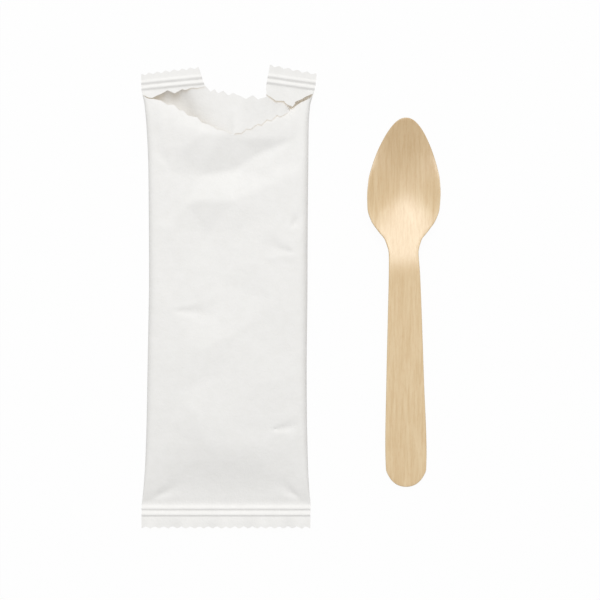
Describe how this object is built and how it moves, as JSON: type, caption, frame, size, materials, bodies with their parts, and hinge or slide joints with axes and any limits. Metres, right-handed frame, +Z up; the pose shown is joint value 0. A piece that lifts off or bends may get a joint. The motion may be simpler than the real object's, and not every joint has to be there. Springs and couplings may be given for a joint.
{
  "type": "wooden teaspoon with its torn-open paper sachet",
  "caption": "Flat paper sachet with crimped end seals, torn open at the top, beside the pressed wooden teaspoon that it held.",
  "frame": {"origin": "on the ground, under the middle of the pair's bounding box", "axes": "+Z up from the ground, +Y along the sachet towards its torn end and along the spoon towards its bowl"},
  "size_m": [0.0891, 0.1378, 0.0069],
  "materials": {
    "white_paper": "matt, uncoated, slightly warm white",
    "birch_veneer": "bare, smooth, fine straight grain"
  },
  "bodies": {
    "root": {"paper_sachet": "white_paper", "wooden_teaspoon": "birch_veneer"}
  },
  "joints": []
}
